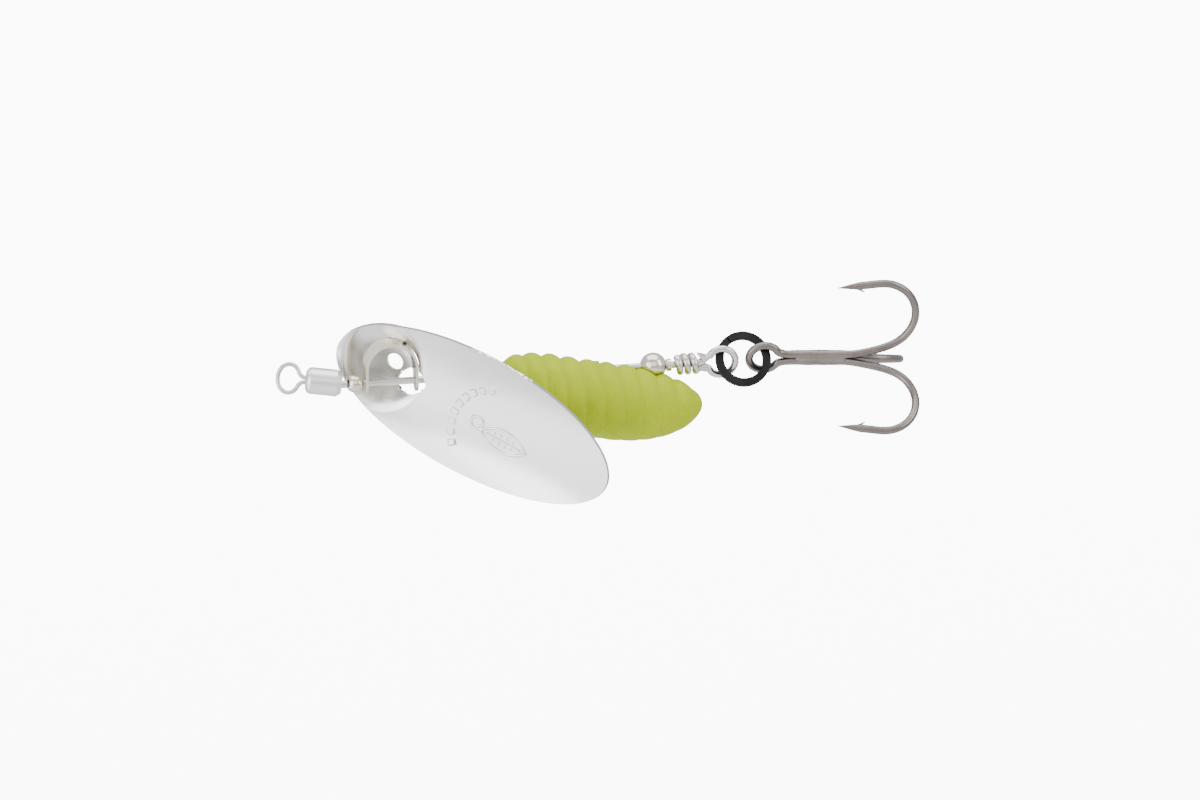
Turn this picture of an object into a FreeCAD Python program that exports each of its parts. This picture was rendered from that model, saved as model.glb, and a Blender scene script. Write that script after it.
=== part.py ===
"""Inline spinner: line eye, barrel swivel, wire shaft, clevis, blade, grub body, split ring, treble.

Millimetres. The origin is the centre of the line eye. +X runs along the shaft towards the hook and +Z is
up, so the grub hangs below the wire as a keel. Every piece is drawn about its own axis and then placed.
"""
import FreeCAD
import Part
import Sketcher
import math
import os

doc = FreeCAD.newDocument("inline_spinner")
os.makedirs("parts", exist_ok=True)
sheet = doc.addObject("Spreadsheet::Sheet", "Sizes")

SIZES = [
    ("swivel_pitch", 9.1),
    ("swivel_yaw", -6.0),
    ("knuckle_reach", 6.5),
    ("eye_wire", 0.25),
    ("eye_half_long", 1.22),
    ("eye_half_tall", 1.58),
    ("eye_neck_half", 0.27),
    ("eye_stem_end", 2.85),
    ("eye_head_radius", 0.80),
    ("eye_head_length", 0.45),
    ("barrel_front", 1.85),
    ("barrel_length", 4.0),
    ("barrel_radius", 1.50),
    ("barrel_wall", 0.35),
    ("barrel_end_wall", 0.50),
    ("barrel_bevel", 0.55),
    ("barrel_front_hole", 0.58),
    ("barrel_throat", 0.71),
    ("barrel_throat_mouth", 0.95),
    ("shaft_wire", 0.40),
    ("shaft_head_radius", 0.72),
    ("shaft_head_at", 4.50),
    ("running_gap", 0.05),
    ("wrap_front", 43.25),
    ("wrap_pitch", 0.88),
    ("wrap_radius", 0.83),
    ("wrap_turns", 2.5),
    ("loop_centre", 48.44),
    ("loop_half", 1.60),
    ("loop_roll", 28.0),
    ("front_bead_at", 7.22),
    ("front_bead_radius", 1.02),
    ("clevis_front", 8.42),
    ("clevis_rear", 14.00),
    ("clevis_thick", 0.30),
    ("clevis_width", 2.40),
    ("clevis_leg", 1.85),
    ("clevis_turn", 22.0),
    ("clevis_relief", 0.15),
    ("blade_at", 13.80),
    ("blade_half_long", 17.2),
    ("blade_half_wide", 7.5),
    ("blade_thick", 0.30),
    ("blade_middle_long", 8.2),
    ("blade_middle_wide", 0.6),
    ("blade_lift", 0.50),
    ("blade_sweep_radius", 90.0),
    ("blade_cup_radius", 20.0),
    ("blade_yaw", -26.2),
    ("blade_pitch", 29.5),
    ("blade_roll", 112.1),
    ("pocket_long", -2.9),
    ("pocket_wide", 0.8),
    ("pocket_radius", 6.85),
    ("pocket_depth", 1.60),
    ("window_radius", 1.50),
    ("window_length", 3.60),
    ("floor_hole_radius", 0.95),
    ("grub_front", 22.9),
    ("grub_length", 23.1),
    ("grub_half_tall", 4.2),
    ("grub_half_wide", 3.7),
    ("grub_drop", 4.4),
    ("grub_ribs", 11.0),
    ("grub_front_blunt", 3.6),
    ("grub_rear_blunt", 2.4),
    ("rib_height", 0.16),
    ("body_liner_front", 22.95),
    ("body_liner_length", 11.45),
    ("body_liner_radius", 0.85),
    ("weight_at", 33.0),
    ("weight_drop", 3.6),
    ("weight_half_long", 5.0),
    ("weight_radius", 1.6),
    ("rear_bead_at", 40.70),
    ("rear_bead_radius", 1.50),
    ("rear_collar_front", 42.24),
    ("rear_collar_length", 0.45),
    ("rear_collar_radius", 0.70),
    ("ring_at", 50.95),
    ("ring_rise", 0.14),
    ("ring_radius", 3.15),
    ("ring_band", 0.95),
    ("ring_thick", 0.72),
    ("ring_seam", 0.12),
    ("ring_tilt", 12.0),
    ("hook_at", 53.34),
    ("hook_rise", 0.17),
    ("hook_pitch", 3.5),
    ("hook_wire", 0.45),
    ("hook_eye_half_long", 1.71),
    ("hook_eye_half_tall", 1.55),
    ("hook_eye_roll", 33.0),
    ("hook_shank", 9.4),
    ("hook_bend_radius", 4.05),
    ("hook_bend_ahead", 3.25),
    ("hook_bend_out", 5.4),
    ("hook_flare", 1.09),
    ("hook_tip", 2.2),
    ("hook_point", 2.6),
]


def fill_sheet():
    for row, (alias, value) in enumerate(SIZES, start=1):
        sheet.set("A%d" % row, alias)
        sheet.set("B%d" % row, str(value))
        sheet.setAlias("B%d" % row, alias)
    doc.recompute()


def size(alias):
    return float(getattr(sheet, alias))


def vector(x, y, z):
    return FreeCAD.Vector(x, y, z)


def turn(yaw, pitch, roll):
    return FreeCAD.Rotation(yaw, pitch, roll)


fill_sheet()

SWIVEL_TURN = turn(size("swivel_yaw"), size("swivel_pitch"), 0)
KNUCKLE = SWIVEL_TURN.multVec(vector(size("knuckle_reach"), 0, 0))
SHAFT_LINE = vector(0, KNUCKLE.y, KNUCKLE.z)
ALONG_X = turn(0, 90, 0)


# ---------------------------------------------------------------- small builders

def solid(kind, name, rules, base=None, rotation=None):
    """A parametric primitive whose sizes follow the sheet."""
    item = doc.addObject("Part::" + kind, name)
    for prop, rule in rules.items():
        item.setExpression(prop, rule)
    item.Placement = FreeCAD.Placement(base or vector(0, 0, 0), rotation or turn(0, 0, 0))
    return item


def rod(name, radius, front, length):
    """A cylinder along X, from the station front."""
    item = solid("Cylinder", name, {"Radius": radius, "Height": length}, rotation=ALONG_X)
    item.setExpression("Placement.Base.x", front)
    return item


def ball(name, radius, at):
    item = solid("Sphere", name, {"Radius": radius})
    item.setExpression("Placement.Base.x", at)
    return item


def fused(name, pieces):
    item = doc.addObject("Part::MultiFuse", name)
    item.Shapes = pieces
    return item


def common(name, pieces):
    item = doc.addObject("Part::MultiCommon", name)
    item.Shapes = pieces
    return item


def cut(name, base, tool):
    item = doc.addObject("Part::Cut", name)
    item.Base = base
    item.Tool = tool
    return item


def held_shape(name, shape):
    item = doc.addObject("Part::Feature", name)
    item.Shape = shape
    return item


def skinned(rings, breaks=()):
    """A closed solid over a row of closed outlines, laid on in short lengths that share their edges."""
    faces = [Part.Face(rings[0]), Part.Face(rings[-1])]
    ends = [0] + list(breaks) + [len(rings) - 1]
    for first, last in zip(ends, ends[1:]):
        parts = max(1, round((last - first) / 14))
        cuts = [first + round((last - first) * i / parts) for i in range(parts + 1)]
        for low, high in zip(cuts, cuts[1:]):
            faces += Part.makeLoft(rings[low:high + 1], False, False).Faces
    skin = Part.makeShell(faces)
    skin.sewShape()
    form = Part.makeSolid(skin)
    if form.Volume < 0:
        form.reverse()
    return form


def bent_wire(points, radii, breaks=()):
    """A round wire along a smooth curve, with its own radius at each point; breaks are corner points."""
    curve = Part.BSplineCurve()
    curve.interpolate(points)
    knots = curve.getKnots()
    stations = [(knots[0], radii[0])]
    for i in range(1, len(knots)):
        stations.append(((knots[i - 1] + knots[i]) / 2, (radii[i - 1] + radii[i]) / 2))
        stations.append((knots[i], radii[i]))
    ahead = curve.tangent(knots[0])[0]
    side = ahead.cross(vector(0.3, 0.5, 0.8)).normalize()
    rings = []
    for station, radius in stations:
        now = curve.tangent(station)[0]
        side = FreeCAD.Rotation(ahead, now).multVec(side)
        ahead = now
        ring = Part.Wire(Part.makeCircle(radius))
        facing = FreeCAD.Rotation(side, ahead.cross(side), ahead, "ZXY")
        ring.Placement = FreeCAD.Placement(curve.value(station), facing)
        rings.append(ring)
    return skinned(rings, [2 * i for i in breaks])


def run(first, last, steps):
    """Evenly spaced points on a straight stretch, both ends included."""
    return [first + (last - first) * (i / steps) for i in range(steps + 1)]


def eyelet(centre, half_long, half_tall, neck, faces, steps):
    """Points round an oval eye from its upper neck to its lower one; faces is +1 for a neck at +X."""
    gap = math.asin(neck / half_tall)
    points = []
    for i in range(steps + 1):
        angle = gap + (2 * math.pi - 2 * gap) * i / steps
        points.append(vector(centre + faces * half_long * math.cos(angle), 0, half_tall * math.sin(angle)))
    return points


# ---------------------------------------------------------------- swivel

def make_line_eye():
    neck = size("eye_neck_half")
    loop = eyelet(0, size("eye_half_long"), size("eye_half_tall"), neck, 1, 22)
    stem_start = loop[0].x + 0.45
    stem = run(vector(size("eye_stem_end"), 0, neck), vector(stem_start, 0, neck), 4)
    back = [vector(p.x, 0, -neck) for p in reversed(stem)]
    spine = stem + loop[1:-1] + back
    wire = held_shape("eye_bent_wire", bent_wire(spine, [size("eye_wire")] * len(spine)))
    head = rod("eye_head", "Sizes.eye_head_radius", "Sizes.eye_stem_end - Sizes.eye_head_length",
               "Sizes.eye_head_length")
    node = fused("line_eye", [wire, head])
    node.Placement = FreeCAD.Placement(vector(0, 0, 0), SWIVEL_TURN)
    return node


def barrel_profile():
    """Half section of the barrel: axial and radial rules, going round the wall."""
    front = "Sizes.barrel_front"
    rear = "Sizes.barrel_front + Sizes.barrel_length"
    bevel = "Sizes.barrel_bevel"
    outer = "Sizes.barrel_radius"
    inner = "Sizes.barrel_radius - Sizes.barrel_wall"
    wall = "Sizes.barrel_end_wall"
    return [
        (front, "Sizes.barrel_front_hole"),
        (front, outer + " - " + bevel),
        (front + " + 0.4 * " + bevel, outer + " - 0.3 * " + bevel),
        (front + " + " + bevel, outer),
        (rear + " - " + bevel, outer),
        (rear, outer + " - 0.7 * " + bevel),
        (rear, "Sizes.barrel_throat_mouth"),
        (rear + " - " + wall, "Sizes.barrel_throat"),
        (rear + " - " + wall, inner),
        (front + " + " + wall, inner),
        (front + " + " + wall, "Sizes.barrel_front_hole"),
    ]


def make_barrel():
    body = doc.addObject("PartDesign::Body", "swivel_barrel")
    sketch = body.newObject("Sketcher::SketchObject", "barrel_section")
    plane = [f for f in body.Origin.OriginFeatures if f.Role == "XZ_Plane"][0]
    sketch.AttachmentSupport = [(plane, "")]
    sketch.MapMode = "FlatFace"
    corners = barrel_profile()
    count = len(corners)
    spots = [vector(1.0 + 0.1 * i, 1.0 + 0.1 * (i % 3), 0) for i in range(count)]
    for i in range(count):
        sketch.addGeometry(Part.LineSegment(spots[i], spots[(i + 1) % count]), False)
    for i in range(count):
        sketch.addConstraint(Sketcher.Constraint("Coincident", i, 2, (i + 1) % count, 1))
    for i, (axial, radial) in enumerate(corners):
        along = sketch.addConstraint(Sketcher.Constraint("DistanceX", -1, 1, i, 1, spots[i].x))
        out = sketch.addConstraint(Sketcher.Constraint("DistanceY", -1, 1, i, 1, spots[i].y))
        sketch.setExpression("Constraints[%d]" % along, axial)
        sketch.setExpression("Constraints[%d]" % out, radial)
    doc.recompute()
    spun = body.newObject("PartDesign::Revolution", "barrel_spun")
    spun.Profile = sketch
    spun.ReferenceAxis = (sketch, ["H_Axis"])
    spun.Angle = 360
    body.Tip = spun
    body.Placement = FreeCAD.Placement(vector(0, 0, 0), SWIVEL_TURN)
    return body


# ---------------------------------------------------------------- shaft and what turns on it

def shaft_points():
    """One wire: straight run, round loop, then back in close turns over the straight run."""
    tight = size("wrap_radius")
    pitch = size("wrap_pitch")
    turns = size("wrap_turns")
    half = size("loop_half")
    rear = size("wrap_front") + pitch * turns
    middle = size("loop_centre")
    under_wraps = vector(size("wrap_front") - 0.4, 0, 0)
    straight = run(vector(size("shaft_head_at") + 0.9, 0, 0), under_wraps, 12)[:-1]
    straight += run(under_wraps, vector(rear, 0, 0), 7)
    loop = []
    for i in range(17):
        angle = math.radians(152 - 304 * i / 16)
        loop.append(vector(middle + half * math.cos(angle), 0, half * math.sin(angle)))
    wraps = []
    steps = int(turns * 12)
    for i in range(steps + 1):
        angle = -math.pi / 2 - 2 * math.pi * turns * i / steps
        station = rear + 0.10 - pitch * turns * i / steps
        wraps.append(vector(station, tight * math.cos(angle), tight * math.sin(angle)))
    return straight + loop + wraps


def make_shaft():
    """The front of the wire is upset into a ball that the swivel holds."""
    wire = size("shaft_wire")
    head = size("shaft_head_radius")
    points = []
    radii = []
    for i in range(9):
        angle = math.radians(12 + 17 * i)
        points.append(vector(size("shaft_head_at") - head * math.cos(angle), 0, 0))
        radii.append(head * math.sin(angle))
    rest = shaft_points()
    shape = bent_wire(points + rest, radii + [wire] * len(rest), [8])
    return held_shape("shaft", shape)


def make_bead(name, radius, at):
    whole = ball(name + "_ball", radius, at)
    bore = rod(name + "_bore", "Sizes.shaft_wire + Sizes.running_gap", at + " - " + radius, "2 * " + radius)
    return cut(name, whole, bore)


def make_tube(name, gap):
    """A tube on the wire, with sizes named after it; gap is its radial play, empty for a tight fit."""
    front = "Sizes.%s_front" % name
    length = "Sizes.%s_length" % name
    whole = rod(name + "_rod", "Sizes.%s_radius" % name, front, length)
    return cut(name, whole, rod(name + "_bore", "Sizes.shaft_wire" + gap, front, length))


# ---------------------------------------------------------------- clevis

def clevis_leg(name, station, grow):
    """A flat leg with a rounded foot that is concentric with the wire."""
    thick = "(Sizes.clevis_thick" + grow + ")"
    width = "(Sizes.clevis_width" + grow + ")"
    plate = solid("Box", name + "_plate", {"Length": thick, "Width": width, "Height": "Sizes.clevis_leg"})
    plate.setExpression("Placement.Base.x", station + " - " + thick + " / 2")
    plate.setExpression("Placement.Base.y", "-" + width + " / 2")
    foot = rod(name + "_foot", width + " / 2", station + " - " + thick + " / 2", thick)
    return [plate, foot]


def clevis_arch(name, grow):
    span = "(Sizes.clevis_rear - Sizes.clevis_front) / 2"
    rings = []
    for side, sign in (("_outside", " + "), ("_inside", " - ")):
        ring = solid("Cylinder", name + side, {
            "Radius": span + sign + "(Sizes.clevis_thick" + grow + ") / 2",
            "Height": "Sizes.clevis_width" + grow,
        }, rotation=turn(0, 0, 90))
        ring.Angle = 180
        ring.setExpression("Placement.Base.x", "(Sizes.clevis_rear + Sizes.clevis_front) / 2")
        ring.setExpression("Placement.Base.y", "(Sizes.clevis_width" + grow + ") / 2")
        ring.setExpression("Placement.Base.z", "Sizes.clevis_leg")
        rings.append(ring)
    return cut(name, rings[0], rings[1])


def clevis_strip(name, grow):
    legs = clevis_leg(name + "_front", "Sizes.clevis_front", grow)
    legs += clevis_leg(name + "_rear", "Sizes.clevis_rear", grow)
    return fused(name, legs + [clevis_arch(name + "_arch", grow)])


def make_clevis():
    holes = rod("clevis_holes", "Sizes.shaft_wire + Sizes.running_gap", "Sizes.clevis_front - 1",
                "Sizes.clevis_rear - Sizes.clevis_front + 2")
    return cut("clevis", clevis_strip("strip", ""), holes)


# ---------------------------------------------------------------- blade

def cup(name, extra):
    """Doubly curved bowl: the outer side of a large ring, joined to the pocket's ball."""
    bowl = solid("Torus", name + "_bowl", {
        "Radius1": "Sizes.blade_sweep_radius - Sizes.blade_cup_radius",
        "Radius2": "Sizes.blade_cup_radius" + extra,
    }, rotation=turn(0, 0, 90))
    bowl.setExpression("Placement.Base.x", "Sizes.blade_middle_long")
    bowl.setExpression("Placement.Base.y", "Sizes.blade_middle_wide")
    bowl.setExpression("Placement.Base.z", "Sizes.blade_lift + Sizes.blade_sweep_radius")
    rise = "(Sizes.blade_middle_long - Sizes.pocket_long) ^ 2 / (2 * Sizes.blade_sweep_radius)"
    pocket = solid("Sphere", name + "_pocket", {"Radius": "Sizes.pocket_radius" + extra})
    pocket.setExpression("Placement.Base.x", "Sizes.pocket_long")
    pocket.setExpression("Placement.Base.y", "Sizes.pocket_wide")
    pocket.setExpression("Placement.Base.z",
                         "Sizes.blade_lift + " + rise + " - Sizes.pocket_depth + Sizes.pocket_radius")
    return fused(name, [bowl, pocket])


def blade_outline():
    oval = doc.addObject("Part::Ellipse", "blade_oval")
    oval.setExpression("MajorRadius", "Sizes.blade_half_long")
    oval.setExpression("MinorRadius", "Sizes.blade_half_wide")
    oval.setExpression("Placement.Base.x", "Sizes.blade_middle_long")
    oval.setExpression("Placement.Base.y", "Sizes.blade_middle_wide")
    prism = doc.addObject("Part::Extrusion", "blade_prism")
    prism.Base = oval
    prism.DirMode = "Custom"
    prism.Dir = vector(0, 0, 1)
    prism.LengthFwd = 8
    prism.LengthRev = 4
    prism.Solid = True
    return prism


def make_blade():
    shell = cut("blade_shell", cup("cup_outside", " + Sizes.blade_thick"), cup("cup_inside", ""))
    blank = common("blade_blank", [blade_outline(), shell])
    hole = solid("Cylinder", "floor_hole", {"Radius": "Sizes.floor_hole_radius"}, base=vector(0, 0, -3))
    hole.Height = 4
    hole.setExpression("Placement.Base.x", "Sizes.pocket_long")
    hole.setExpression("Placement.Base.y", "Sizes.pocket_wide")
    pierced = cut("blade_pierced", blank, hole)
    lean = turn(size("blade_yaw"), size("blade_pitch"), size("blade_roll"))
    pierced.Placement = FreeCAD.Placement(vector(size("blade_at"), 0, 0), lean)
    window = rod("shaft_window", "Sizes.window_radius", "Sizes.blade_at - Sizes.window_length / 2",
                 "Sizes.window_length")
    relief = clevis_strip("relief", " + 2 * Sizes.clevis_relief")
    relief.Placement = FreeCAD.Placement(vector(0, 0, 0), turn(0, 0, size("clevis_turn")))
    return cut("blade", pierced, fused("blade_openings", [window, relief]))


# ---------------------------------------------------------------- grub body

def grub_section(share, rib):
    """Oval section of the ribbed body at a share of its length: centre height and half sizes."""
    fall = -0.1 - size("grub_drop") * (1 - (1 - share) ** 2)
    blunt = size("grub_front_blunt") if share < 0.5 else size("grub_rear_blunt")
    full = (1 - abs(2 * share - 1) ** blunt) ** 0.55
    ripple = rib * size("rib_height") * full
    tall = size("grub_half_tall") * full + ripple
    wide = size("grub_half_wide") * full + ripple
    return fall, tall, wide


def grub_form():
    """Loft through ovals that crowd together towards the two rounded ends."""
    sections = []
    steps = int(size("grub_ribs")) * 7
    for i in range(1, steps):
        share = (1 - math.cos(math.pi * i / steps)) / 2
        fall, tall, wide = grub_section(share, math.cos(2 * math.pi * size("grub_ribs") * share))
        station = size("grub_front") + size("grub_length") * share
        oval = Part.Ellipse(vector(station, 0, fall + tall), vector(station, wide, fall),
                            vector(station, 0, fall))
        sections.append(Part.Wire(oval.toShape()))
    return skinned(sections)


def make_weight(name):
    slug = solid("Ellipsoid", name, {
        "Radius1": "Sizes.weight_radius",
        "Radius2": "Sizes.weight_half_long",
        "Radius3": "Sizes.weight_radius",
    })
    slug.setExpression("Placement.Base.x", "Sizes.weight_at")
    slug.setExpression("Placement.Base.z", "-Sizes.weight_drop")
    return slug


def place_weight(node):
    node.setExpression("Placement.Base.z", None)
    node.setExpression("Placement.Base.x", None)
    place = SHAFT_LINE + vector(size("weight_at"), 0, -size("weight_drop"))
    node.Placement = FreeCAD.Placement(place, turn(0, 0, 0))
    return node


def make_grub():
    form = held_shape("grub_form", grub_form())
    hollows = fused("grub_hollows", [
        rod("grub_wire_way", "Sizes.shaft_wire + Sizes.running_gap", "Sizes.grub_front - 1",
            "Sizes.grub_length + 2"),
        rod("grub_liner_way", "Sizes.body_liner_radius", "Sizes.grub_front - 1",
            "Sizes.body_liner_length + Sizes.body_liner_front - Sizes.grub_front + 1"),
        ball("grub_bead_seat", "Sizes.rear_bead_radius + 2 * Sizes.running_gap", "Sizes.rear_bead_at"),
        make_weight("weight_hollow"),
    ])
    return cut("grub_skin", form, hollows)


# ---------------------------------------------------------------- split ring and treble

def make_split_ring():
    """Two flat turns of spring wire seen as one band with a seam and an open end."""
    turns = []
    lifts = {"ring_near_turn": "-Sizes.ring_thick / 2", "ring_far_turn": "Sizes.ring_seam / 2"}
    for name, lift in lifts.items():
        disc = solid("Cylinder", name, {
            "Radius": "Sizes.ring_radius",
            "Height": "(Sizes.ring_thick - Sizes.ring_seam) / 2",
        })
        disc.setExpression("Placement.Base.z", lift)
        turns.append(disc)
    core = solid("Cylinder", "ring_core", {
        "Radius": "Sizes.ring_radius - 0.1 * Sizes.ring_band",
        "Height": "Sizes.ring_thick - Sizes.ring_seam",
    })
    core.setExpression("Placement.Base.z", "-(Sizes.ring_thick - Sizes.ring_seam) / 2")
    eye = solid("Cylinder", "ring_hole", {
        "Radius": "Sizes.ring_radius - Sizes.ring_band",
        "Height": "2 * Sizes.ring_thick",
    })
    eye.setExpression("Placement.Base.z", "-Sizes.ring_thick")
    node = cut("split_ring", fused("ring_turns", turns + [core]), eye)
    lean = turn(0, 0, 90 - size("ring_tilt"))
    place = SHAFT_LINE + vector(size("ring_at"), 0, size("ring_rise"))
    node.Placement = FreeCAD.Placement(place, lean)
    return node


def polar(station, out, angle):
    return vector(station, out * math.cos(angle), out * math.sin(angle))


def hook_points(start_out, start_angle, end_angle):
    """Centre line from the end of the shank, round the bend, to the base of the point."""
    shank = size("hook_shank")
    ahead = shank + size("hook_bend_ahead")
    out = size("hook_bend_out")
    bend = size("hook_bend_radius")
    points = []
    for share in (0.0, 0.35, 0.7):
        angle = start_angle + (end_angle - start_angle) * share
        reach = start_out + (size("hook_flare") - start_out) * share ** 2
        points.append(polar(shank + 3.2 * share, reach, angle))
    for i in range(9):
        arc = math.radians(-42 + 139 * i / 8)
        points.append(polar(ahead + bend * math.cos(arc), out + bend * math.sin(arc), end_angle))
    last = math.radians(97)
    for share in (0.5, 1.0):
        step = size("hook_tip") * share
        points.append(polar(ahead + bend * math.cos(last) - step * math.sin(last),
                            out + bend * math.sin(last) + step * math.cos(last), end_angle))
    return points


def hook_spike(points):
    """Centre points and radii of the sharp tip beyond a hook's centre line."""
    step = (points[-1] - points[-2]).normalize() * size("hook_point")
    shares = (0.33, 0.66, 1.0)
    centres = [points[-1] + step * share for share in shares]
    return centres, [size("hook_wire") * (1.06 - share) for share in shares]


def place_hook(node):
    place = SHAFT_LINE + vector(size("hook_at"), 0, size("hook_rise"))
    node.Placement = FreeCAD.Placement(place, turn(0, size("hook_pitch"), 0))
    return node


def make_treble_pair():
    """One wire bent round the eye, its two ends formed into hooks."""
    roll = math.radians(size("hook_eye_roll"))
    beside = size("hook_wire") + 0.01
    upper = math.pi / 2 + roll
    lower = roll - math.pi / 2
    spin = turn(0, 0, size("hook_eye_roll"))
    loop = eyelet(0, size("hook_eye_half_long"), size("hook_eye_half_tall"), beside, 1, 22)
    neck = loop[0].x + 0.9
    shank = size("hook_shank")
    ahead = [polar(x, beside, upper) for x in (neck, neck + 2.0, neck + 4.0, shank - 1.5)]
    after = [polar(p.x, beside, lower) for p in ahead]
    first = hook_points(beside, upper, math.radians(120))
    second = hook_points(beside, lower, math.radians(-120))
    eye = [spin.multVec(p) for p in loop[1:-1]]
    spine = list(reversed(first)) + list(reversed(ahead)) + eye + after + second
    start, taper = hook_spike(first)
    end = hook_spike(second)[0]
    radii = list(reversed(taper)) + [size("hook_wire")] * len(spine) + taper
    shape = bent_wire(list(reversed(start)) + spine + end, radii, [3, len(spine) + 2])
    return place_hook(held_shape("treble_pair", shape))


def make_treble_third():
    """The third hook, laid in the groove between the other two shank wires."""
    beside = (size("hook_wire") + 0.01) * math.sqrt(3)
    groove = math.radians(size("hook_eye_roll"))
    points = [polar(x, beside, groove) for x in (3.2, 5.2, 7.2)]
    hook = hook_points(beside, groove, 0)
    spine = points + hook
    end, taper = hook_spike(hook)
    shape = bent_wire(spine + end, [size("hook_wire")] * len(spine) + taper, [len(spine) - 1])
    return place_hook(held_shape("treble_third", shape))


# ---------------------------------------------------------------- assembly

def on_the_shaft(node, roll=0):
    node.Placement = FreeCAD.Placement(SHAFT_LINE, turn(0, 0, roll))
    return node


nodes = [
    make_line_eye(),
    make_barrel(),
    on_the_shaft(make_shaft(), size("loop_roll")),
    on_the_shaft(make_bead("front_bead", "Sizes.front_bead_radius", "Sizes.front_bead_at")),
    on_the_shaft(make_clevis(), size("clevis_turn")),
    on_the_shaft(make_blade()),
    on_the_shaft(make_grub()),
    on_the_shaft(make_tube("body_liner", " + Sizes.running_gap")),
    place_weight(make_weight("body_weight")),
    on_the_shaft(make_bead("rear_bead", "Sizes.rear_bead_radius", "Sizes.rear_bead_at")),
    on_the_shaft(make_tube("rear_collar", "")),
    make_split_ring(),
    make_treble_pair(),
    make_treble_third(),
]
doc.recompute()

for item in doc.Objects:
    if "Invalid" in item.State or "Error" in item.State:
        raise RuntimeError("%s did not build: %s" % (item.Label, item.State))

for node in nodes:
    if node.Shape.isNull() or not node.Shape.isValid():
        raise RuntimeError("%s has a broken shape" % node.Label)
    node.Shape.exportStep("parts/%s.step" % node.Label)
    print(node.Label, len(node.Shape.Solids), round(node.Shape.Volume, 3))
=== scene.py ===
import math

import bmesh
import bpy
import numpy as np
from mathutils import Matrix, Vector, noise


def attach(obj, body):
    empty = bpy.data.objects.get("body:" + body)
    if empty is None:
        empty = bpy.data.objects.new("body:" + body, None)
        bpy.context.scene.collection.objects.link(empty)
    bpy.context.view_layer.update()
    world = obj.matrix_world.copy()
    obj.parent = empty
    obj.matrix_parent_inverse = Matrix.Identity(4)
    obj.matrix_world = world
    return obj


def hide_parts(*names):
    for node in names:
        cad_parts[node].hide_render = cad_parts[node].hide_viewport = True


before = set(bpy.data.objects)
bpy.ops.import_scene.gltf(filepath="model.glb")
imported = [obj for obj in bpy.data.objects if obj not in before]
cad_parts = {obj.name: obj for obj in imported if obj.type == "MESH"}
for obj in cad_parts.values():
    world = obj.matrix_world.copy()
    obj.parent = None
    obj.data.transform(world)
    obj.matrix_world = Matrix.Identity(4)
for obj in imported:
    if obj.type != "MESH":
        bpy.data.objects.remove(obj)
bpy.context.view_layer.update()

# Positions and sizes are in millimetres and become metres when a mesh is made.
MM = 0.001

# The swivel leans against the shaft, which runs straight along X from the swivel's rear end.
SWIVEL = Matrix.Rotation(math.radians(-6.0), 4, "Z") @ Matrix.Rotation(math.radians(9.1), 4, "Y")
KNUCKLE = SWIVEL @ Vector((6.5, 0, 0))
SHAFT = Vector((0, KNUCKLE.y, KNUCKLE.z))


# ---------------------------------------------------------------- materials

class Paint:
    """Builds one node material on object coordinates."""

    def __init__(self, name):
        self.mat = bpy.data.materials.new(name)
        self.mat.use_nodes = True
        self.tree = self.mat.node_tree
        self.shader = self.tree.nodes["Principled BSDF"]
        self.coords = self.tree.nodes.new("ShaderNodeTexCoord").outputs["Object"]

    def add(self, kind, **inputs):
        node = self.tree.nodes.new(kind)
        for key, value in inputs.items():
            if key in node.inputs.keys():
                self.put(node.inputs[key], value)
            else:
                setattr(node, key, value)
        return node

    def put(self, socket, value):
        if isinstance(value, bpy.types.NodeSocket):
            self.tree.links.new(value, socket)
        else:
            socket.default_value = value

    def set(self, **inputs):
        for key, value in inputs.items():
            self.put(self.shader.inputs[key.replace("_", " ")], value)

    def grain(self, scale, detail=4.0, stretch=(1, 1, 1), rough=0.6):
        mapping = self.add("ShaderNodeMapping", Vector=self.coords, Scale=stretch)
        return self.add("ShaderNodeTexNoise", Vector=mapping.outputs["Vector"], Scale=scale, Detail=detail,
                        Roughness=rough).outputs["Fac"]

    def span(self, value, low, high, start=0.3, end=0.7):
        node = self.add("ShaderNodeMapRange", Value=value)
        node.inputs["From Min"].default_value = start
        node.inputs["From Max"].default_value = end
        node.inputs["To Min"].default_value = low
        node.inputs["To Max"].default_value = high
        return node.outputs["Result"]

    def blend(self, value, low, high, start=0.3, end=0.7):
        ramp = self.add("ShaderNodeValToRGB", Fac=value)
        ramp.color_ramp.elements[0].position = start
        ramp.color_ramp.elements[0].color = (*low, 1)
        ramp.color_ramp.elements[1].position = end
        ramp.color_ramp.elements[1].color = (*high, 1)
        return ramp.outputs["Color"]

    def bump(self, height, strength, distance=0.00005, under=None):
        node = self.add("ShaderNodeBump", Height=height, Strength=strength, Distance=distance)
        if under is not None:
            self.put(node.inputs["Normal"], under)
        return node.outputs["Normal"]


def plated(name, low, high, rough, wear=0.12, grain=900, stretch=(1, 1, 1), bump=0.12):
    """A plated or drawn metal with faint tarnish, uneven polish and fine surface grain."""
    p = Paint(name)
    cloud = p.grain(260, 5)
    fine = p.grain(grain, 6, stretch, 0.7)
    p.set(Base_Color=p.blend(cloud, low, high, 0.25, 0.75), Metallic=1.0)
    p.set(Roughness=p.span(fine, rough, rough + wear))
    p.set(Normal=p.bump(fine, bump))
    return p.mat


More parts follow.
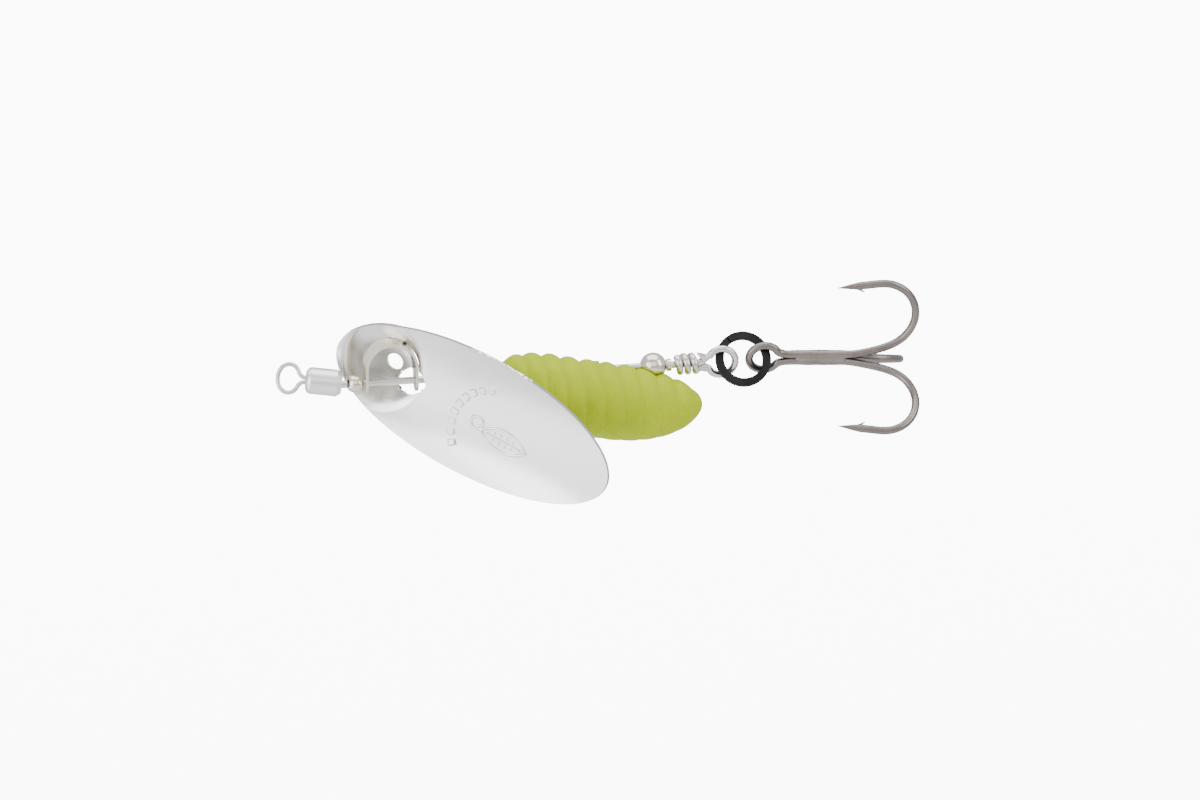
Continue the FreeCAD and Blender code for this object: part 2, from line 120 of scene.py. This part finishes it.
def blade_silver():
    """Silver mirror plate: long soft clouds, faint rolling lines, tiny pits."""
    p = Paint("blade_silver")
    cloud = p.grain(90, 4)
    lines = p.grain(1400, 3, (1, 0.06, 0.06), 0.5)
    pits = p.add("ShaderNodeTexVoronoi", Vector=p.coords, Scale=2600.0).outputs["Distance"]
    p.set(Base_Color=p.blend(cloud, (0.80, 0.81, 0.815), (0.90, 0.905, 0.90)), Metallic=1.0)
    p.set(Roughness=p.span(cloud, 0.16, 0.24))
    first = p.bump(lines, 0.05, 0.00003)
    p.set(Normal=p.bump(p.span(pits, 0.0, 1.0, 0.0, 0.12), 0.05, 0.00002, first))
    return p.mat


def grub_yellow():
    """Soft fluorescent vinyl that lets a little light in, with faint mottling and a matt skin."""
    p = Paint("grub_yellow")
    cloud = p.grain(220, 5)
    fine = p.grain(1500, 6)
    p.set(Base_Color=p.blend(cloud, (0.31, 0.40, 0.0), (0.38, 0.48, 0.0)))
    p.set(Subsurface_Weight=0.25, Subsurface_Scale=0.0007, Subsurface_Radius=(1.0, 1.0, 0.05))
    p.set(Roughness=p.span(fine, 0.40, 0.55), Specular_IOR_Level=0.12)
    p.set(Normal=p.bump(fine, 0.16, 0.00006))
    return p.mat


MATERIALS = {
    "wire": plated("wire", (0.58, 0.57, 0.545), (0.72, 0.71, 0.68), 0.14, grain=2600, stretch=(0.08, 1, 1)),
    "barrel": plated("barrel", (0.74, 0.74, 0.73), (0.86, 0.86, 0.85), 0.28, 0.14),
    "nickel": plated("nickel", (0.66, 0.61, 0.53), (0.80, 0.75, 0.66), 0.12, 0.10),
    "strip": plated("strip", (0.62, 0.57, 0.48), (0.78, 0.73, 0.63), 0.16, 0.12, stretch=(1, 0.1, 1)),
    "brass": plated("brass", (0.56, 0.40, 0.16), (0.72, 0.54, 0.24), 0.24),
    "lead": plated("lead", (0.20, 0.20, 0.21), (0.30, 0.30, 0.31), 0.55),
    "black": plated("black", (0.014, 0.014, 0.015), (0.032, 0.031, 0.030), 0.32, 0.18),
    "hook": plated("hook", (0.15, 0.13, 0.122), (0.25, 0.22, 0.208), 0.22, 0.16, stretch=(0.15, 1, 1)),
    "braze": plated("braze", (0.17, 0.147, 0.136), (0.27, 0.24, 0.225), 0.26, 0.18),
    "silver": blade_silver(),
    "yellow": grub_yellow(),
}
CAD_FINISH = {
    "line_eye": "wire", "swivel_barrel": "barrel", "shaft": "wire", "front_bead": "nickel",
    "clevis": "strip", "rear_bead": "nickel", "rear_collar": "nickel", "body_liner": "brass",
    "body_weight": "lead", "treble_pair": "hook", "treble_third": "hook",
}
for node, finish in CAD_FINISH.items():
    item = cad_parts[node]
    item.data.materials.clear()
    item.data.materials.append(MATERIALS[finish])


# ---------------------------------------------------------------- mesh builders

def link(item):
    bpy.context.scene.collection.objects.link(item)


def piece(name, verts, faces, finish, body, replaces=()):
    """A mesh in millimetres becomes one named piece that rides on a body."""
    mesh = bpy.data.meshes.new(name)
    mesh.from_pydata([tuple(MM * c for c in v) for v in verts], [], faces)
    mesh.materials.append(MATERIALS[finish])
    mesh.validate()
    mesh.shade_smooth()
    item = bpy.data.objects.new(name, mesh)
    link(item)
    if replaces:
        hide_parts(*replaces)
    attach(item, body)
    return item


def solid_piece(name, verts, rows, cols, finish, body, replaces=()):
    """Rows of points round a closed section become a capped solid with outward normals."""
    faces = grid_faces(rows, cols)
    faces.append(tuple(range(cols - 1, -1, -1)))
    faces.append(tuple((rows - 1) * cols + j for j in range(cols)))
    mesh = piece(name, verts, faces, finish, body, replaces).data
    bm = bmesh.new()
    bm.from_mesh(mesh)
    bmesh.ops.recalc_face_normals(bm, faces=bm.faces)
    bm.to_mesh(mesh)
    bm.free()


def grid_faces(rows, cols):
    """Quads between neighbouring rows, each row closed on itself."""
    faces = []
    for i in range(rows - 1):
        for j in range(cols):
            k = (j + 1) % cols
            faces.append((i * cols + j, i * cols + k, (i + 1) * cols + k, (i + 1) * cols + j))
    return faces


# ---------------------------------------------------------------- blade

BLADE_STATION = 13.8
BLADE = (Matrix.Translation(SHAFT + Vector((BLADE_STATION, 0, 0)))
         @ Matrix.Rotation(math.radians(-26.2), 4, "Z")
         @ Matrix.Rotation(math.radians(29.5), 4, "Y")
         @ Matrix.Rotation(math.radians(112.1), 4, "X"))
BLADE_TURN = np.array(BLADE.to_3x3())
BLADE_PLACE = np.array(BLADE.translation)
BLADE_HALF_LONG = 17.2
BLADE_HALF_WIDE = 7.5
BLADE_THICK = 0.30
MID = (8.2, 0.6)

# The bowl's lowest height and its radii along and across the blade.
BOWL_LOW = 0.50
BOWL_LONG = 90.0
BOWL_CROSS = 20.0

# The round pocket near the front end, which the shaft passes through.
POCKET = (-2.9, 0.8)
POCKET_RADIUS = 6.85
POCKET_DEEP = 1.60
POCKET_LIMIT = 42.0
POCKET_RIM = 0.55
RISE = (MID[0] - POCKET[0]) ** 2 / (2 * BOWL_LONG)
POCKET_Z = BOWL_LOW + RISE - POCKET_DEEP + POCKET_RADIUS
FLOOR_HOLE = 0.95
WINDOW_RADIUS = 1.5
WINDOW_HALF_LONG = 1.8

# The clevis: its fold is an arch beside the shaft, and its two legs stand across the shaft.
CLEVIS_LEAN = math.radians(22.0)
CLEVIS_HALF_WIDE = 1.35
CLEVIS_HALF_GAP = 0.30
ARCH_MIDDLE = 11.21
ARCH_RADIUS = 2.79
ARCH_START = 1.85
LEG_FRONT = 8.42
LEG_REAR = 14.0


def soft_min(a, b, width):
    """The lower of two surfaces, rounded over where they meet."""
    share = np.clip(0.5 + 0.5 * (b - a) / width, 0, 1)
    return b * (1 - share) + a * share - width * share * (1 - share)


def emboss(l, w):
    """A plain pressed motif: an arc of dashes round a leaf outline, with one small ring."""
    u = l - 11.1
    v = w + 1.2
    out = np.hypot(u, v)
    turn = np.degrees(np.arctan2(v, u)) % 360
    dash = np.abs((turn % 13.0) - 6.5) / 6.5
    arc = np.clip((0.46 - np.abs(out - 5.3)) / 0.12, 0, 1) * np.clip((0.62 - dash) / 0.12, 0, 1)
    arc = arc * ((turn > 104) & (turn < 221))
    leaf = np.maximum(np.hypot(u - 1.1, v - 2.7), np.hypot(u - 1.1, v + 3.1)) - 4.1
    leaf_line = np.clip((0.20 - np.abs(leaf)) / 0.12, 0, 1)
    vein = np.clip((0.13 - np.abs(v + 0.2)) / 0.10, 0, 1) * (np.abs(u - 1.1) < 2.2)
    ribs = np.clip((0.12 - np.abs((u - 1.1) % 0.8 - 0.4)) / 0.08, 0, 1)
    ribs = ribs * (leaf < -0.45) * (np.abs(v + 0.2) > 0.25)
    ring = np.clip((0.20 - np.abs(np.hypot(u + 2.5, v - 0.4) - 0.72)) / 0.12, 0, 1)
    return 0.13 * np.maximum.reduce([arc, leaf_line, vein, 0.7 * ribs, ring])


def blade_height(l, w):
    """The blade's face: a bowl bent tighter across than along, with a deeper round pocket."""
    a = l - MID[0]
    b = w - MID[1]
    cross = BOWL_LONG - BOWL_CROSS + np.sqrt(BOWL_CROSS ** 2 - b * b)
    bowl = BOWL_LOW + BOWL_LONG - np.sqrt(cross ** 2 - a * a)
    d2 = (l - POCKET[0]) ** 2 + (w - POCKET[1]) ** 2
    dish = POCKET_Z - np.sqrt(np.clip(POCKET_RADIUS ** 2 - d2, 1.0, None))
    return soft_min(bowl, np.where(d2 < POCKET_LIMIT, dish, bowl + 5), POCKET_RIM)


def opening_depth(l, w):
    """Below zero where the blade is pierced: shaft window, clevis relief, floor hole."""
    z = blade_height(l, w) - BLADE_THICK / 2
    at = np.stack([l, w, z], axis=-1) @ BLADE_TURN.T + BLADE_PLACE
    x = at[..., 0]
    y = at[..., 1] - SHAFT.y
    h = at[..., 2] - SHAFT.z
    window = np.maximum(np.hypot(y, h) - WINDOW_RADIUS, np.abs(x - BLADE_STATION) - WINDOW_HALF_LONG)
    across = y * math.cos(CLEVIS_LEAN) + h * math.sin(CLEVIS_LEAN)
    up = -y * math.sin(CLEVIS_LEAN) + h * math.cos(CLEVIS_LEAN)
    sides = np.abs(across) - CLEVIS_HALF_WIDE
    arch = np.abs(np.hypot(x - ARCH_MIDDLE, up - ARCH_START) - ARCH_RADIUS) - CLEVIS_HALF_GAP
    arch = np.maximum(np.maximum(arch, sides), ARCH_START - up)
    legs = np.minimum(np.abs(x - LEG_REAR), np.abs(x - LEG_FRONT)) - CLEVIS_HALF_GAP
    plate = np.maximum(np.maximum(legs, sides), np.maximum(up - ARCH_START, -up))
    foot = np.maximum(legs, np.hypot(across, up) - CLEVIS_HALF_WIDE)
    floor = np.hypot(l - POCKET[0], w - POCKET[1]) - FLOOR_HOLE
    return np.minimum.reduce([window, arch, plate, foot, floor])


def make_blade():
    """Rings of points, drawn onto the edges of the openings, then thickened and rounded."""
    rings, spokes = 230, 760
    reach = np.linspace(0.004, 1.0, rings) ** 0.9
    around = np.linspace(0, 2 * np.pi, spokes, endpoint=False)
    l = MID[0] + BLADE_HALF_LONG * reach[:, None] * np.cos(around)[None, :]
    w = MID[1] + BLADE_HALF_WIDE * reach[:, None] * np.sin(around)[None, :]
    step = 0.01
    for _ in range(3):
        g = opening_depth(l, w)
        gl = (opening_depth(l + step, w) - g) / step
        gw = (opening_depth(l, w + step) - g) / step
        size = gl * gl + gw * gw
        near = (np.abs(g) < 0.055) & (size > 0.05)
        l = np.where(near, l - g * gl / np.maximum(size, 0.05), l)
        w = np.where(near, w - g * gw / np.maximum(size, 0.05), w)
    g = opening_depth(l, w)
    z = blade_height(l, w) + emboss(l, w)
    local = np.stack([l, w, z], axis=-1).reshape(-1, 3)
    verts = local @ BLADE_TURN.T + BLADE_PLACE
    flat = g.reshape(-1)
    faces = [f for f in grid_faces(rings, spokes) if sum(flat[i] for i in f) > -0.02]
    hub = len(verts)
    middle = np.array([MID[0], MID[1], BOWL_LOW + emboss(MID[0], MID[1])])
    verts = np.vstack([verts, BLADE_TURN @ middle + BLADE_PLACE])
    faces += [(hub, (j + 1) % spokes, j) for j in range(spokes)]
    item = piece("spinner_blade", verts, faces, "silver", "blade", ("blade",))
    front = BLADE.to_3x3() @ Vector((0, 0, 1))
    bm = bmesh.new()
    bm.from_mesh(item.data)
    bmesh.ops.delete(bm, geom=[v for v in bm.verts if not v.link_faces], context="VERTS")
    for face in bm.faces:
        if face.normal.dot(front) < 0:
            face.normal_flip()
    bm.to_mesh(item.data)
    bm.free()
    skin = item.modifiers.new("thickness", "SOLIDIFY")
    skin.thickness = BLADE_THICK * MM
    skin.offset = -1
    skin.use_even_offset = False
    edge = item.modifiers.new("edge", "BEVEL")
    edge.width = 0.035 * MM
    edge.segments = 2
    edge.angle_limit = math.radians(55)


# ---------------------------------------------------------------- grub

GRUB_START = 22.9
GRUB_LONG = 23.1
GRUB_HALF_TALL = 4.2
GRUB_HALF_WIDE = 3.7
GRUB_RIBS = 11
GRUB_FRONT_BLUNT = 3.6
GRUB_REAR_BLUNT = 2.4
LINER_END = 34.6
LINER_COVER = 0.95
REAR_BEAD = Vector((40.70, 0, 0))
REAR_BEAD_ROOM = 1.60


def make_grub():
    """A drooping ribbed body that covers the liner and leaves a hollow for the rear bead."""
    rows, cols = 520, 180
    shares = (1 - np.cos(np.pi * (np.arange(rows) + 0.5) / rows)) / 2
    verts = []
    for share in shares:
        blunt = GRUB_FRONT_BLUNT if share < 0.5 else GRUB_REAR_BLUNT
        full = (1 - abs(2 * share - 1) ** blunt) ** 0.55
        fall = -0.1 - 4.4 * (1 - (1 - share) ** 2)
        lobe = abs(math.cos(math.pi * GRUB_RIBS * share))
        groove = 0.40 * (1 - lobe) ** 1.15
        station = GRUB_START + GRUB_LONG * share
        for j in range(cols):
            a = 2 * math.pi * j / cols
            sway = 0.05 * full * noise.noise(Vector((station * 0.7, 2.2 * math.cos(a), 2.2 * math.sin(a))))
            rib = full * (0.14 - groove * (0.16 + 0.84 * (0.5 + 0.5 * math.sin(a)) ** 0.8))
            seam = 0.03 * full * math.exp(-((math.cos(a)) / 0.02) ** 2)
            tall = GRUB_HALF_TALL * full + rib + sway + seam
            wide = GRUB_HALF_WIDE * full + rib + sway + seam
            at = Vector((station, wide * math.cos(a), fall + tall * math.sin(a)))
            reach = math.hypot(at.y, at.z)
            if tall > 1.5 and station < LINER_END and reach < LINER_COVER:
                at = Vector((station, at.y * LINER_COVER / reach, at.z * LINER_COVER / reach))
            off = at - REAR_BEAD
            if off.length < REAR_BEAD_ROOM:
                at = REAR_BEAD + off.normalized() * REAR_BEAD_ROOM
            verts.append(at + SHAFT)
    solid_piece("grub_body", verts, rows, cols, "yellow", "grub", ("grub_skin",))


# ---------------------------------------------------------------- split ring

def make_split_ring():
    """Two flat turns of one wire, side by side, crossing over half way along it."""
    centre = SHAFT + Vector((50.95, 0, 0.14))
    lean = Matrix.Translation(centre) @ Matrix.Rotation(math.radians(78.0), 4, "X")
    steps, cols = 520, 24
    middle_radius = 2.68
    start = math.radians(147)
    section = []
    for i in range(cols):
        a = 2 * math.pi * i / cols
        c, s = math.cos(a), math.sin(a)
        section.append((0.46 * math.copysign(abs(c) ** 0.35, c), 0.155 * math.copysign(abs(s) ** 0.45, s)))
    verts = []
    for i in range(steps + 1):
        t = i / steps
        angle = start + t * math.radians(2 * 360 - 26)
        ramp = min(max((t - 0.44) / 0.12, 0), 1)
        lift = 0.18 * (2 * (3 * ramp ** 2 - 2 * ramp ** 3) - 1)
        ends = min(1.0, min(t, 1 - t) * 60 + 0.45)
        for r, h in section:
            out = middle_radius + r * (0.8 + 0.2 * ends)
            verts.append(lean @ Vector((out * math.cos(angle), out * math.sin(angle), lift + h * ends)))
    solid_piece("split_ring_wire", verts, steps + 1, cols, "black", "ring", ("split_ring",))


# ---------------------------------------------------------------- treble details

HOOK = Matrix.Translation(SHAFT + Vector((53.34, 0, 0.17))) @ Matrix.Rotation(math.radians(3.5), 4, "Y")
BEND_X = 9.4 + 3.25
BEND_OUT = 5.4
BEND_RADIUS = 4.05
BEND_END = math.radians(97)
POINT_LONG = 1.9
BARB_LONG = 1.35
SHANK_OFFSET = 0.266
BRAZE_RADIUS = 0.76


def make_barbs():
    """A sliver cut up from the inner side of each point."""
    base_x = BEND_X + BEND_RADIUS * math.cos(BEND_END) - POINT_LONG * math.sin(BEND_END)
    base_r = BEND_OUT + BEND_RADIUS * math.sin(BEND_END) + POINT_LONG * math.cos(BEND_END)
    rows, cols = 14, 10
    for name, angle in (("upper", 120), ("lower", -120), ("far", 0)):
        arm = math.radians(angle)
        verts = []
        for i in range(rows):
            t = i / (rows - 1)
            x = base_x - BARB_LONG + 1.75 * t
            r = base_r - 0.16 * (x - base_x) / BARB_LONG - 0.26 - 0.60 * t ** 1.5
            half = 0.20 * (1 - t) ** 0.5 + 0.02
            for j in range(cols):
                a = 2 * math.pi * j / cols
                side = half * math.cos(a) * 1.1
                rr = r + half * math.sin(a)
                y = rr * math.cos(arm) - side * math.sin(arm)
                z = rr * math.sin(arm) + side * math.cos(arm)
                verts.append(HOOK @ Vector((x, y, z)))
        solid_piece("barb_" + name, verts, rows, cols, "hook", "treble")


def make_braze():
    """Brazing metal drawn into the grooves between the three shank wires."""
    verts = []
    rows, cols = 60, 32
    away = math.radians(33.0)
    for i in range(rows):
        t = i / (rows - 1)
        x = 3.3 + 6.3 * t
        taper = min(1.0, min(t, 1 - t) * 9 + 0.35)
        for j in range(cols):
            a = 2 * math.pi * j / cols
            r = (BRAZE_RADIUS + 0.02 * math.sin(9 * t + 2 * a)) * taper
            y = SHANK_OFFSET * math.cos(away) + r * math.cos(a)
            z = SHANK_OFFSET * math.sin(away) + r * math.sin(a)
            verts.append(HOOK @ Vector((x, y, z)))
    solid_piece("shank_braze", verts, rows, cols, "braze", "treble")


make_blade()
make_grub()
make_split_ring()
make_barbs()
make_braze()


# ---------------------------------------------------------------- studio, in metres

FLOOR_Z = -0.25
AHEAD = Vector((math.sin(math.radians(10.0)), math.cos(math.radians(10.0)), 0))


def make_floor():
    corners = [(-0.9, -0.9, FLOOR_Z), (1.0, -0.9, FLOOR_Z), (1.0, 0.9, FLOOR_Z), (-0.9, 0.9, FLOOR_Z)]
    mesh = bpy.data.meshes.new("floor")
    mesh.from_pydata(corners, [], [(0, 1, 2, 3)])
    p = Paint("floor_paper")
    p.set(Base_Color=p.blend(p.grain(60, 3), (0.84, 0.84, 0.84), (0.88, 0.88, 0.88)), Roughness=0.85)
    mesh.materials.append(p.mat)
    floor = bpy.data.objects.new("floor", mesh)
    link(floor)


def softbox(name, place, aim, wide, tall, power):
    light = bpy.data.lights.new(name, "AREA")
    light.shape = "RECTANGLE"
    light.size = wide
    light.size_y = tall
    light.energy = power
    item = bpy.data.objects.new(name, light)
    item.location = place
    item.rotation_euler = (Vector(aim) - Vector(place)).to_track_quat("-Z", "Y").to_euler()
    link(item)


def make_world():
    """Even grey studio, lighter above and behind, with a lit white panel behind the object."""
    world = bpy.data.worlds.new("studio")
    world.use_nodes = True
    tree = world.node_tree
    new, join = tree.nodes.new, tree.links.new
    coords = new("ShaderNodeTexCoord").outputs["Generated"]
    split = new("ShaderNodeSeparateXYZ")
    join(coords, split.inputs[0])
    ramp = new("ShaderNodeValToRGB")
    span = new("ShaderNodeMapRange")
    span.inputs["From Min"].default_value = -1
    join(split.outputs["Z"], span.inputs["Value"])
    join(span.outputs["Result"], ramp.inputs["Fac"])
    stops = ramp.color_ramp.elements
    stops[0].color = (0.40, 0.40, 0.41, 1)
    stops[1].color = (0.95, 0.95, 0.95, 1)
    middle = stops.new(0.52)
    middle.color = (0.74, 0.74, 0.75, 1)
    toward = new("ShaderNodeVectorMath")
    toward.operation = "DOT_PRODUCT"
    join(coords, toward.inputs[0])
    toward.inputs[1].default_value = AHEAD
    panel = new("ShaderNodeMapRange")
    panel.inputs["From Min"].default_value = math.cos(math.radians(10.5))
    panel.inputs["From Max"].default_value = math.cos(math.radians(9.0))
    panel.inputs["To Min"].default_value = 1.2
    panel.inputs["To Max"].default_value = 15.0
    join(toward.outputs["Value"], panel.inputs["Value"])
    background = tree.nodes["Background"]
    join(ramp.outputs["Color"], background.inputs["Color"])
    join(panel.outputs["Result"], background.inputs["Strength"])
    bpy.context.scene.world = world


def make_camera():
    """A long lens from far off, turned and rolled to match the photo's view of the object."""
    roll = math.radians(3.49)
    right = Vector((AHEAD.y, -AHEAD.x, 0))
    up = Vector((0, 0, 1))
    x_axis = right * math.cos(roll) - up * math.sin(roll)
    y_axis = right * math.sin(roll) + up * math.cos(roll)
    aim = Vector((34.47, -0.67, -4.47)) * MM
    distance = 0.60
    width_in_view = 0.13333
    camera = bpy.data.cameras.new("camera")
    camera.sensor_width = 36
    camera.lens = camera.sensor_width * distance / width_in_view
    camera.clip_start = 0.01
    item = bpy.data.objects.new("camera", camera)
    turn = Matrix((x_axis, y_axis, -AHEAD)).transposed().to_4x4()
    item.matrix_world = Matrix.Translation(aim - AHEAD * distance) @ turn
    link(item)
    bpy.context.scene.camera = item


make_floor()
make_world()
softbox("overhead", (0.02, -0.05, 0.38), (0.035, 0, 0), 0.50, 0.34, 1.7)
softbox("left_low", (-0.30, -0.04, -0.13), (0.03, 0, 0), 0.46, 0.46, 1.0)
softbox("left_front", (-0.34, -0.30, 0.06), (0.03, 0, 0), 0.34, 0.40, 1.2)
softbox("front_fill", (-0.02, -0.62, 0.16), (0.02, 0, 0), 0.60, 0.36, 0.8)
softbox("right_front", (0.40, -0.26, 0.16), (0.04, 0, 0), 0.20, 0.34, 0.9)
make_camera()
